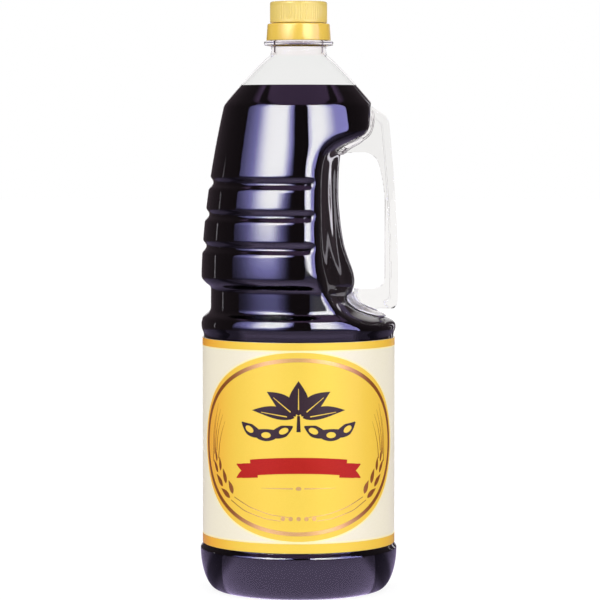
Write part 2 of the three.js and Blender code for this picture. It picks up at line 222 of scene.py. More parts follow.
@dataclass(frozen=True)
class Skin:
    """The outside of the body: a round profile, three grooves and the recess behind the handle.

    The waist gives height and radius, the recess gives height, keel and edge. Soften gives the widths of the blur
    along the rings and up the rows, at the waist, beside the recess and at its top.
    """

    foot_inner: float = 41.0
    foot_outer: float = 43.0
    dome_height: float = 7.0
    dome_power: float = 3.4
    heel_height: float = 22.9
    lip_radius: float = 52.6
    panel_radius: float = 50.8
    panel_bottom: float = 25.3
    upper_radius: float = 52.1
    upper_bottom: float = 167.1
    corner_height: float = 258.8
    corner_narrowing: float = 12.2
    narrowing_power: float = 1.7
    groove_lowest: float = 183.9
    groove_pitch: float = 16.9
    groove_count: int = 3
    groove_depth: float = 2.0
    groove_half_width: float = 3.8
    groove_fade: float = 12.0
    cone_bottom: float = 260.9
    cone_bottom_radius: float = 38.4
    cone_top: float = 285.2
    cone_top_radius: float = 15.9
    cone_bulge: float = 0.6
    soften: tuple = ((1.5, 1.6), (3.3, 2.2), (3.3, 3.2))
    map_bottom: float = 120.0
    map_top: float = 290.0
    cell: float = 0.5
    cell_width: float = 0.4
    cell_degrees: float = 0.5
    flute_depth: float = 0.25
    flute_pitch: float = 21.0
    keel_rounding: float = 0.12
    flat_from: float = 241.0
    waist: tuple = (
        (136.3, 50.8), (138.0, 51.1), (140.0, 52.0), (143.0, 52.2), (146.4, 51.4), (148.4, 48.9), (149.2, 47.7),
        (150.6, 47.1), (159.9, 47.05), (161.5, 47.0), (162.7, 47.5), (164.6, 50.3), (167.1, 52.1),
    )
    recess: tuple = (
        (144.4, 51.9, 27.3), (146.2, 46.6, 24.3), (147.7, 41.5, 22.3), (149.5, 36.0, 19.4), (151.9, 31.4, 17.7),
        (154.5, 28.6, 16.0), (157.0, 27.6, 14.2), (160.0, 28.8, 12.0), (164.1, 30.5, 9.0), (170.2, 29.6, 7.4),
        (176.2, 27.1, 7.1), (184.3, 24.4, 7.4), (194.5, 22.7, 7.9), (208.7, 21.3, 8.1), (220.8, 21.4, 8.2),
        (227.7, 21.8, 8.6), (233.5, 22.2, 11.0), (236.4, 22.6, 14.0), (238.8, 24.6, 19.4), (240.4, 36.2, 28.0),
        (242.2, 36.8, 36.8), (248.2, 37.7, 37.7), (260.9, 38.4, 38.4),
    )
    tables: dict = field(default_factory=dict)

    def eased(self, name: str, values: np.ndarray, sigma: float, height: np.ndarray) -> np.ndarray:
        """Reads a smoothed table: each value is the mean of its neighbours, weighted by exp(-d^2 / 2 sigma^2).

        Args:
            name: The table's name, under which it is kept.
            values: One value for each of the marks.
            sigma: Width of the smoothing.
            height: Heights to read it at.

        Returns:
            The smoothed values at the heights.
        """
        if name not in self.tables:
            reach = int(sigma * 40)
            weights = np.exp(-0.5 * (np.arange(-reach, reach + 1) / (sigma * 10)) ** 2)
            padded = np.pad(values, reach, mode="edge")
            self.tables[name] = np.convolve(padded, weights / weights.sum(), mode="valid")
        return np.interp(height, MARKS, self.tables[name])

    def sharp_round(self, height: np.ndarray) -> np.ndarray:
        """Round radius with its corners: oval heel, panel, waist knots, narrowing upper body, bulged cone."""
        rise = 1 - np.clip(height, 0, self.heel_height) / self.heel_height
        heel = self.foot_outer + (self.lip_radius - self.foot_outer) * np.sqrt(1 - rise ** 2)
        knots = ((self.heel_height, self.lip_radius), (self.panel_bottom, self.panel_radius), *self.waist)
        middle = np.interp(height, *np.array(knots).T)
        upper_share = ramp(height, self.upper_bottom, self.corner_height)
        upper = self.upper_radius - self.corner_narrowing * upper_share ** self.narrowing_power
        share = (height - self.cone_bottom) / (self.cone_top - self.cone_bottom)
        cone = self.cone_bottom_radius + (self.cone_top_radius - self.cone_bottom_radius) * share
        cone = cone + self.cone_bulge * 4 * share * (1 - share)
        step = np.interp(height, [self.corner_height, self.cone_bottom],
                         [self.upper_radius - self.corner_narrowing, self.cone_bottom_radius])
        zones = [height <= self.heel_height, height < self.upper_bottom, height <= self.corner_height,
                 height < self.cone_bottom]
        return np.select(zones, [heel, middle, upper, step], cone)

    def round_radius(self, height: np.ndarray) -> np.ndarray:
        """Round radius with softened corners: sharp at the heel, smoothed over 0.35 at the lip and 0.7 above."""
        soft = self.eased("round", self.sharp_round(MARKS), 0.7, height)
        lip = self.eased("lip", self.sharp_round(MARKS), 0.35, height)
        return np.select([height < 16, height < 60], [self.sharp_round(height), lip], soft)

    def groove(self, height: np.ndarray) -> np.ndarray:
        """Depth of the grooves: groove_depth times cos squared of the share of the half width."""
        centres = self.groove_lowest + self.groove_pitch * np.arange(self.groove_count)
        across = np.minimum(1, np.abs(height[..., None] - centres) / self.groove_half_width)
        return (self.groove_depth * np.cos(across * np.pi / 2) ** 2).sum(-1)

    def recess_radius(self, height: np.ndarray, angle: np.ndarray, radius: np.ndarray) -> np.ndarray:
        """Distance to the recess's wedge: keel / (cos a + lean side), where lean joins the keel to the edge.

        Args:
            height: Heights above the floor.
            angle: Angles from +X.
            radius: Round radius there.

        Returns:
            Radii of the wedge with its ripples, and three times the round radius where there is no wedge.
        """
        heights, keels, edges = np.array(self.recess).T
        beyond = np.clip(heights[0] - MARKS, 0, None) * 4 + np.clip(MARKS - heights[-1], 0, None) * 2
        keel = self.eased("keel", np.interp(MARKS, heights, keels) + beyond, 1.1, height)
        edge = np.minimum(self.eased("edge", np.interp(MARKS, heights, edges) + beyond, 1.1, height), radius)
        half_width = np.sqrt(np.maximum(radius ** 2 - edge ** 2, 1))
        side = np.hypot(np.sin(angle), self.keel_rounding) - self.keel_rounding
        lean = (keel - edge) / half_width
        lean = np.where(height > self.flat_from, np.minimum(lean, 0), lean)
        facing = np.cos(angle) + lean * side
        across = np.abs(np.sin(angle)) * keel / np.maximum(facing, 0.2)
        fluted = self.flute_depth * np.sin(2 * np.pi * across / self.flute_pitch) * ramp(across, 3, 9)
        keel = keel + fluted * ramp(height, 232, 222) * ramp(height, 160, 170)
        seen = (facing > keel / (3 * radius)) & (height >= heights[0])
        return np.where(seen, keel / np.maximum(facing, 1e-3), 3 * radius)

    def blurred(self, values: np.ndarray, along: float, up: float) -> np.ndarray:
        """Blurs a map of the body by exp(-d^2 / 2 sigma^2), first along the rings, then up the rows."""
        for axis, sigma in ((1, along / self.cell_width), (0, up / self.cell)):
            reach = int(sigma * 3)
            shifts = np.arange(-reach, reach + 1)
            weights = np.exp(-0.5 * (shifts / sigma) ** 2)
            shares = weights / weights.sum()
            values = sum(share * np.roll(values, shift, axis) for share, shift in zip(shares, shifts))
        return values

    def softest(self, height: np.ndarray, values: np.ndarray, scale: float) -> np.ndarray:
        """Blurs a map by the three widths of soften, blended by height."""
        low, middle, high = (self.blurred(values, along * scale, up * scale) for along, up in self.soften)
        top = ramp(height, 205, 225) * ramp(height, 256, 248)
        return low + (middle - low) * ramp(height, 160, 167) + (high - middle) * top

    def maps(self) -> tuple[np.ndarray, np.ndarray]:
        """Maps of the recessed body, blurred so that its corners are round, and of how far it is used."""
        if "recessed" not in self.tables:
            heights = np.arange(self.map_bottom, self.map_top, self.cell)
            angles = np.radians(np.arange(0, 360, self.cell_degrees))
            height, angle = np.meshgrid(heights, angles, indexing="ij")
            plain = self.round_radius(height)
            recess = self.recess_radius(height, angle, plain)
            recess = np.where(height > self.recess[-1][0] + 8, plain, recess)
            self.tables["recessed"] = self.softest(height, np.minimum(plain, recess), 1.0)
            near = self.softest(height, (recess < plain - 0.05).astype(float), 1.3)
            self.tables["near"] = np.clip(near * 9, 0, 1)
        return self.tables["recessed"], self.tables["near"]

    def looked_up(self, table: np.ndarray, height: np.ndarray, angle: np.ndarray) -> np.ndarray:
        """Value of a map between its cells, by Catmull-Rom weights of the four nearest cells each way."""
        row = np.clip((height - self.map_bottom) / self.cell, 1, len(table) - 3)
        column = np.degrees(angle) / self.cell_degrees
        total = 0.0
        row_cell, column_cell = np.floor(row).astype(int), np.floor(column).astype(int)
        row_weights, column_weights = self.four_weights(row - row_cell), self.four_weights(column - column_cell)
        for step, row_weight in zip(range(-1, 3), row_weights):
            for stride, column_weight in zip(range(-1, 3), column_weights):
                place = row_cell + step, (column_cell + stride) % table.shape[1]
                total = total + row_weight * column_weight * table[place]
        return total

    @staticmethod
    def four_weights(t: np.ndarray) -> tuple[np.ndarray, ...]:
        """Catmull-Rom weights at a share t between the second and third of four points."""
        return ((-t + 2 * t ** 2 - t ** 3) / 2, (2 - 5 * t ** 2 + 3 * t ** 3) / 2,
                (t + 4 * t ** 2 - 3 * t ** 3) / 2, (t ** 3 - t ** 2) / 2)

    def radius(self, height: np.ndarray, angle: np.ndarray) -> np.ndarray:
        """Radius of the skin: the grooved round, and near the recess the blurred map of round and recess."""
        height, angle = np.broadcast_arrays(np.asarray(height, float), np.asarray(angle, float))
        plain = self.round_radius(height)
        recess = self.recess_radius(height, angle, plain)
        recessed, near = self.maps()
        mapped = height > self.map_bottom + 1
        used = np.where(mapped, self.looked_up(near, height, angle), 0.0) * ramp(height, 259, 254)
        soft = self.looked_up(recessed, height, angle)
        room = np.clip((recess - plain) / self.groove_fade, 0, 1)
        sharp = np.where(mapped, np.minimum(plain, recess), plain)
        return sharp + (soft - sharp) * used - self.groove(height) * room

    def point(self, height: np.ndarray, angle: np.ndarray, inset: float) -> np.ndarray:
        """Points on the skin moved inwards along its normal, whose slopes are finite differences of the radius."""
        height, angle = np.broadcast_arrays(np.asarray(height, float), np.asarray(angle, float))
        radius = self.radius(height, angle)
        slope = (self.radius(height + 0.3, angle) - self.radius(height - 0.3, angle)) / 0.6
        twist = (self.radius(height, angle + 0.01) - self.radius(height, angle - 0.01)) / (0.02 * radius)
        share = inset / np.sqrt(1 + slope ** 2 + twist ** 2)
        out, along = radius - share, share * twist
        x = out * np.cos(angle) - along * np.sin(angle)
        y = out * np.sin(angle) + along * np.cos(angle)
        return np.stack([x, y, height + share * slope], -1)

    def angle_at(self, height: np.ndarray, across: np.ndarray) -> np.ndarray:
        """Angle on the handle's side at which the skin has a given Y, by repeating a = asin(y / r(a))."""
        angle = np.arctan2(across, 40.0) + 0 * height
        for _ in range(14):
            angle = 0.5 * angle + 0.5 * np.arcsin(np.clip(across / self.radius(height, angle), -0.98, 0.98))
        return angle

    def dome(self, radius: np.ndarray) -> np.ndarray:
        """Height of the hollow underside: dome_height (1 - (r / foot_inner)^dome_power)."""
        return self.dome_height * (1 - np.clip(radius / self.foot_inner, 0, 1) ** self.dome_power)

    @staticmethod
    def columns() -> np.ndarray:
        """Angles of the columns, closer together over the recess than at the back."""
        near = np.linspace(-110, 110, 150, endpoint=False)
        far = np.linspace(110, 250, 58, endpoint=False)
        return np.radians(np.concatenate([near, far]))


SKIN = Skin()


# Finishes


class Wiring:
    """Adds nodes to a tree and joins their sockets."""

    def __init__(self, tree: bpy.types.NodeTree, keep: bool = False) -> None:
        """Takes a tree and empties it, unless its nodes are kept."""
        self.tree = tree
        if not keep:
            tree.nodes.clear()

    def node(self, kind: str, **settings: object) -> bpy.types.Node:
        """Adds a node with its settings."""
        made = self.tree.nodes.new(kind)
        for name, value in settings.items():
            setattr(made, name, value)
        return made

    def feed(self, socket: bpy.types.NodeSocket, value: object) -> None:
        """Links a socket to the value, or sets it where the value is plain."""
        if isinstance(value, bpy.types.NodeSocket):
            self.tree.links.new(value, socket)
        else:
            socket.default_value = value

    def fed(self, kind: str, values: tuple, sockets: tuple = (0, 1, 2, 3, 4), output: int = 0,
            **settings: object) -> bpy.types.NodeSocket:
        """Adds a node and feeds it.

        Args:
            kind: The node's type.
            values: Numbers, colours or sockets.
            sockets: The inputs that they go to, in order.
            output: The output that is returned.
            settings: The node's settings.

        Returns:
            The node's output.
        """
        made = self.node(kind, **settings)
        for socket, value in zip(sockets, values):
            self.feed(made.inputs[socket], value)
        return made.outputs[output]

    def math(self, operation: str, *values: object) -> bpy.types.NodeSocket:
        """Returns one arithmetic operation on values or sockets."""
        return self.fed("ShaderNodeMath", values, operation=operation)

    def ease(self, value: object, low: float, high: float, start: float = 0.0,
             end: float = 1.0) -> bpy.types.NodeSocket:
        """Returns a smooth step of a value from start at low to end at high."""
        return self.fed("ShaderNodeMapRange", (value, low, high, start, end), interpolation_type="SMOOTHSTEP")

    def window(self, value: object, low: float, high: float, soft: float) -> bpy.types.NodeSocket:
        """Returns 1 between two values and 0 outside them, with edges of a given softness."""
        rising = self.ease(value, low - soft / 2, low + soft / 2)
        return self.product(rising, self.ease(value, high - soft / 2, high + soft / 2, 1.0, 0.0))

    def parts(self, coordinates: str) -> list[bpy.types.NodeSocket]:
        """Returns X, Y and Z of one of the texture coordinates."""
        split = self.node("ShaderNodeSeparateXYZ")
        self.feed(split.inputs[0], self.node("ShaderNodeTexCoord").outputs[coordinates])
        return list(split.outputs)

    def product(self, *values: object) -> bpy.types.NodeSocket:
        """Returns the product of several values."""
        return reduce(lambda first, second: self.math("MULTIPLY", first, second), values)

    def grey(self, value: object) -> bpy.types.NodeSocket:
        """Returns a value as a colour."""
        return self.fed("ShaderNodeCombineXYZ", (value, value, value))

    def mirrored(self) -> bpy.types.NodeSocket:
        """Returns 1 for rays that a surface reflected on their way, 0 for those that only passed through."""
        rays = self.node("ShaderNodeLightPath").outputs
        through = self.product(rays["Is Transmission Ray"], self.math("LESS_THAN", rays["Glossy Depth"], 0.5))
        return self.product(rays["Is Glossy Ray"], self.math("SUBTRACT", 1.0, through))

    def tinted(self, colour: object, strength: object) -> bpy.types.NodeSocket:
        """Returns a colour times a strength."""
        return self.fed("ShaderNodeVectorMath", (colour, strength), (0, "Scale"), operation="SCALE")

    def total(self, *vectors: bpy.types.NodeSocket) -> bpy.types.NodeSocket:
        """Returns the sum of several colours."""
        return reduce(lambda first, second: self.fed("ShaderNodeVectorMath", (first, second), operation="ADD"), vectors)

    def mixed(self, factor: object, first: object, second: object) -> bpy.types.NodeSocket:
        """Returns the blend of two colours."""
        return self.fed("ShaderNodeMix", (factor, first, second), (0, 6, 7), 2, data_type="RGBA")

    def blend(self, factor: object, first: object, second: object) -> bpy.types.NodeSocket:
        """Returns the blend of two shaders."""
        return self.fed("ShaderNodeMixShader", (factor, first, second))


@dataclass(frozen=True)
class Finish:
    """A surface: two colours mixed by a fine grain, a third towards the sides, varying roughness and a low bump.

    The third colour is painted shade that darkens the surface towards its sides; it sets in between two distances from
    the middle, or two places along X where they are negative.
    """

    name: str
    colour: tuple
    shade: tuple
    roughness: float = 0.4
    spread: float = 0.06
    grain: float = 0.8
    bump: float = 0.004
    constants: tuple = ()
    absorption: tuple | None = None
    density: float = 0.0
    # Painted shade: a deeper colour that the surface takes towards its sides.
    side: tuple | None = None
    painted_shade_from: float = 0.0
    painted_shade_to: float = 1.0

    def build(self) -> bpy.types.Material:
        """Makes the material: noise on object coordinates drives the colour, roughness and bump.

        Returns:
            The material, with every constant set on the shader's own socket.
        """
        material = bpy.data.materials.new(self.name)
        material.use_nodes = True
        wiring = Wiring(material.node_tree)
        shader = wiring.node("ShaderNodeBsdfPrincipled")
        grain = wiring.node("ShaderNodeTexNoise")
        grain.inputs["Scale"].default_value = 1 / (self.grain * MM)
        grain.inputs["Detail"].default_value = 3.0
        wiring.feed(grain.inputs["Vector"], wiring.node("ShaderNodeTexCoord").outputs["Object"])
        amount = wiring.ease(grain.outputs["Fac"], 0.35, 0.65)
        colour = wiring.mixed(amount, self.colour, self.shade)
        # Painted shade: blends towards the side colour away from the middle along X.
        if self.side is not None:
            along = wiring.parts("Object")[0]
            across = wiring.math("ABSOLUTE", along) if self.painted_shade_from > 0 else along
            share = wiring.ease(across, self.painted_shade_from * MM, self.painted_shade_to * MM)
            colour = wiring.mixed(share, colour, self.side)
        wiring.feed(shader.inputs["Base Color"], colour)
        rough = wiring.math("MULTIPLY_ADD", grain.outputs["Fac"], self.spread, self.roughness - self.spread / 2)
        wiring.feed(shader.inputs["Roughness"], rough)
        if self.bump:
            relief = wiring.node("ShaderNodeBump")
            relief.inputs["Strength"].default_value = 1.0
            relief.inputs["Distance"].default_value = self.bump * MM
            wiring.feed(relief.inputs["Height"], grain.outputs["Fac"])
            wiring.feed(shader.inputs["Normal"], relief.outputs[0])
        for socket, value in self.constants:
            shader.inputs[socket].default_value = value
        out = wiring.node("ShaderNodeOutputMaterial")
        wiring.feed(out.inputs["Surface"], shader.outputs[0])
        if self.absorption is not None:
            fog = wiring.node("ShaderNodeVolumeAbsorption")
            fog.inputs["Color"].default_value = self.absorption
            fog.inputs["Density"].default_value = self.density
            wiring.feed(out.inputs["Volume"], fog.outputs[0])
        return material


def clear(name: str, colour: tuple, shade: tuple, ior: float, grain: float = 14.0, **more: object) -> Finish:
    """Returns a see-through finish; without a roughness it is perfectly smooth.

    Args:
        name: The material's name.
        colour: Its colour.
        shade: The colour of its grain.
        ior: Its index of refraction.
        grain: Size of its grain.
        more: Further fields of the finish, and weight for how far it is see-through.
    """
    constants = (("Transmission Weight", more.pop("weight", 1.0)), ("IOR", ior))
    plain = {"roughness": 0.0, "spread": 0.0, "bump": 0.01 if "roughness" in more else 0.0}
    return Finish(name, (*colour, 1), (*shade, 1), grain=grain, constants=constants, **{**plain, **more})


def coated(weight: float, roughness: float, ior: float, *tint: tuple) -> tuple:
    """Returns the constants of a slight sheen under a coat, whose tint is left white where none is given."""
    return (("Specular IOR Level", 0.35), ("Coat Weight", weight), ("Coat Roughness", roughness), ("Coat IOR", ior),
            *(("Coat Tint", (*colour, 1)) for colour in tint))


FOG = {"absorption": (0.83, 0.5, 0.2, 1), "density": 2600.0}
DULL = (("Specular IOR Level", 0.12),)
WARM = (0.96, 0.88, 0.74)


class Look(Enum):
    """The finishes of the bottle."""

    BODY = clear("clear_body_plastic", (0.985, 0.988, 0.99), (0.975, 0.98, 0.985), 1.57, roughness=0.01, spread=0.008)
    HEAD = clear("clear_empty_shoulder", (0.925, 0.925, 0.92), (0.92, 0.92, 0.915), 1.025, roughness=0.02, spread=0.01)
    WETTED = clear("wetted_body_wall", (1, 1, 1), (0.99, 0.99, 0.99), 1.0)
    SAUCE = clear("dark_sauce", (1, 0.96, 0.93), (0.98, 0.93, 0.9), 1.0, 6.0, **FOG)
    SAUCE_TOP = clear("dark_sauce_surface", (1, 0.96, 0.93), (0.98, 0.93, 0.9), 1.36, 6.0, **FOG)
    HANDLE = clear("clear_handle_plastic", (0.87, 0.86, 0.85), (0.86, 0.85, 0.84), 1.06, 5.0, roughness=0.03,
                   spread=0.02)
    HUGGED = clear("clear_handle_foot", (0.93, 0.925, 0.93), (0.92, 0.915, 0.92), 1.45, 5.0, roughness=0.08,
                   spread=0.03, weight=0.72)
    NECK = clear("clear_neck_plastic", (0.95, 0.93, 0.925), (0.94, 0.92, 0.915), 1.09, roughness=0.02, spread=0.01)
    PLASTIC = Finish("yellow_moulded_plastic", (0.89, 0.67, 0.12, 1), (0.87, 0.65, 0.11, 1), 0.36, 0.06, 0.5,
                     constants=coated(1.0, 0.12, 1.28, WARM))
    PALER_PLASTIC = Finish("pale_moulded_plastic", (0.82, 0.7, 0.23, 1), (0.8, 0.68, 0.215, 1), 0.36, 0.06, 0.5,
                           constants=coated(1.0, 0.16, 1.2, WARM))
    PAPER = Finish("cream_label_paper", paint("f1ead4"), paint("ece4cc"), 0.42, 0.08, 0.35,
                   constants=coated(0.3, 0.28, 1.15))
    # Painted shade: the yellow turns deeper orange towards the left side.
    YELLOW = Finish("yellow_ink", (0.95, 0.9, 0.2, 1), (0.93, 0.87, 0.18, 1), 0.36, 0.06, 0.4, bump=0.003,
                    constants=coated(1.0, 0.25, 1.15, (0.95, 0.72, 0.45)),
                    side=(0.96, 0.72, 0.15, 1), painted_shade_from=-30.0, painted_shade_to=-51.0)
    PALE = Finish("pale_yellow_ink", paint("fbf0b4"), paint("f8ebaa"), 0.38, 0.06, 0.4, bump=0.003)
    # Painted shade: the bronze darkens towards both sides, standing in for its dimmer reflection there.
    BRONZE = Finish("bronze_ink", paint("cfa468"), paint("c89b5e"), 0.34, 0.1, 0.5,
                    constants=(("Metallic", 0.35), ("Specular IOR Level", 0.35)),
                    side=paint("93521f"), painted_shade_from=14.0, painted_shade_to=40.0)
    DARK = Finish("aubergine_ink", paint("36262e"), paint("302229"), 0.36, 0.08, 0.4, bump=0.003, constants=DULL)
    RED = Finish("red_ink", paint("b9231b"), paint("ac1d17"), 0.36, 0.08, 0.4, bump=0.003, constants=DULL)

    def material(self) -> bpy.types.Material:
        """Returns the finish's material, made once."""
        return bpy.data.materials.get(self.value.name) or self.value.build()


def dress(piece: bpy.types.Object, slot: str, *nodes: str) -> None:
    """Lets a piece ride on the bottle, logs its slot and hides the CAD nodes that it stands for."""
    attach(piece, "root")
    if nodes:
        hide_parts(*nodes)
    faces = len(piece.data.polygons)
    LOG.info("%s: %d faces in slot %s%s", piece.name, faces, slot, f", for {', '.join(nodes)}" if nodes else "")


# Body and sauce


@dataclass
class ClearBody:
    """The clear body: one wall from the hollow foot over the shoulder to the mouth, and back down inside."""

    wall: float = 0.8
    level: float = float(node_span("soy_sauce")[1][2]) - 0.75
    mouth_top: float = float(node_span("bottle")[1][2])
    bore: float = 12.4
    heel_top: float = 21.0
    shoulder_top: float = 283.4
    neck_from: float = 285.3

    def outer_heights(self) -> np.ndarray:
        """Heights of the skin's rows, close together where it is stepped."""
        spans = [(21.4, 25.4, 0.25), (25.5, 134.0, 5.0), (134.0, 146.0, 0.6), (146.0, 152.0, 0.3), (152.0, 171.0, 0.6),
                 (171.0, 229.0, 0.75), (229.0, 262.0, 0.5), (262.0, self.level - 0.3, 1.1),
                 (self.level, self.shoulder_top, 1.1)]
        heel = self.heel_heights()
        return np.concatenate([heel[heel < self.heel_top], *[np.arange(*span) for span in spans]])

    def inner_heights(self) -> np.ndarray:
        """Heights of the inner wall's rows."""
        spans = [(self.heel_top, 27.0, 1.2), (27.0, 134.0, 10.0), (134.0, 171.0, 1.2), (171.0, 229.0, 1.5),
                 (229.0, 262.0, 1.1), (262.0, self.level - 0.6, 1.1), (self.level + 0.55, self.shoulder_top, 2.0)]
        return np.concatenate([self.heel_heights()[1:-1:2], *[np.arange(*span) for span in spans]])

    def floor_rows(self, lift: float, count: int) -> np.ndarray:
        """Rows from the middle of the floor to the foot: radius and dome height, lifted by a distance."""
        radius = np.linspace(2.0, SKIN.foot_inner - 0.2 - lift * 0.6, count)
        foot = [[SKIN.foot_inner + 0.2, lift], [SKIN.foot_outer - lift * 0.5, lift]]
        return np.concatenate([np.stack([radius, SKIN.dome(radius) + lift], -1), foot])

    @staticmethod
    def heel_heights() -> np.ndarray:
        """Heights up the heel, evenly spaced round its oval: heel_height (1 - cos a)."""
        turn = np.linspace(0, np.pi / 2, 21)[1:-1]
        return SKIN.heel_height * (1 - np.cos(turn))

    def rings(self, rows: np.ndarray) -> np.ndarray:
        """Turns rows of radius and height into rings of points at the skin's columns."""
        return rings(rows, SKIN.columns())

    def grid(self, inset: float, heights: np.ndarray) -> np.ndarray:
        """Rings on the skin at an inset."""
        return SKIN.point(heights[:, None], SKIN.columns()[None, :], inset)

    def neck_rows(self) -> np.ndarray:
        """Rows from the shoulder over the support ring and the lip down the bore."""
        return rounded([
            (SKIN.cone_top_radius + 0.8, 284.3, 0), (14.9, 285.7, 0.9), (14.7, 290.0, 0.7), (18.3, 290.7, 0.5),
            (18.6, 292.9, 0.7), (15.0, 293.2, 0.5), (13.8, 294.4, 0.5), (13.8, self.mouth_top, 0.5),
            (self.bore, self.mouth_top, 0.5), (self.bore, 287.2, 0.8), (13.9, 285.2, 0.6), (16.2, 283.2, 0),
        ])

    def build(self) -> None:
        """Makes the body: its inner wall is wetted up to the sauce's level, its shoulder and neck are empty."""
        grids = [
            self.rings(self.floor_rows(0.0, 16)), self.grid(0.0, self.outer_heights()), self.rings(self.neck_rows()),
            self.grid(self.wall, self.inner_heights())[::-1], self.rings(self.floor_rows(self.wall, 12))[::-1],
        ]
        grid = np.concatenate(grids)
        shell = Shell.around(grid, [0, 0, SKIN.dome_height], [0, 0, SKIN.dome_height + self.wall])
        inside_from = sum(len(part) for part in grids[:3])
        columns = grid.shape[1]
        row = np.arange(len(shell.quads)) // columns
        lowest = shell.points[shell.quads, 2].min(1)
        wet = (row >= inside_from - 1) & (lowest < self.level - 0.3)
        head = np.where(lowest > self.neck_from, 3, 2)
        marks = np.where(lowest >= self.level - 0.25, head, wet)
        marks = np.concatenate([marks, np.zeros(columns), np.ones(columns)])
        looks = [look.material() for look in (Look.BODY, Look.WETTED, Look.HEAD, Look.NECK)]
        piece = shell.make("body_wall", *looks, marks=marks)
        dress(piece, "clear_body", "bottle")


@dataclass
class Sauce(ClearBody):
    """The sauce: it reaches just into the wall, up to a level surface that creeps up at its edge."""

    inset: float = 0.35
    creep: float = 0.3
    creep_width: float = 1.1

    def build(self) -> None:
        """Makes the sauce on the body's own rows, and closes it with its surface."""
        heights = self.outer_heights()
        side = self.grid(self.inset, heights[heights < self.level - self.creep - 0.4])
        edge = float(SKIN.round_radius(np.array(self.level))) - self.inset * 1.36
        away = np.array([0.0, 0.25, 0.9, 1.8, 3.2, 6.0, 12.0, 20.0])
        surface = np.stack([edge - away, self.level - self.creep * (1 - np.exp(-away / self.creep_width))], -1)
        under = self.rings(self.floor_rows(self.inset, 16))
        grid = np.concatenate([under, side, self.rings(surface)])
        shell = Shell.around(grid, [0, 0, SKIN.dome_height + self.inset], [0, 0, self.level - self.creep])
        columns = grid.shape[1]
        top_from = len(under) + len(side)
        row = np.arange(len(shell.quads)) // columns
        marks = np.concatenate([row >= top_from, np.zeros(columns), np.ones(columns)])
        piece = shell.make("sauce_fill", Look.SAUCE.material(), Look.SAUCE_TOP.material(), marks=marks)
        dress(piece, "sauce", "soy_sauce")


# Handle


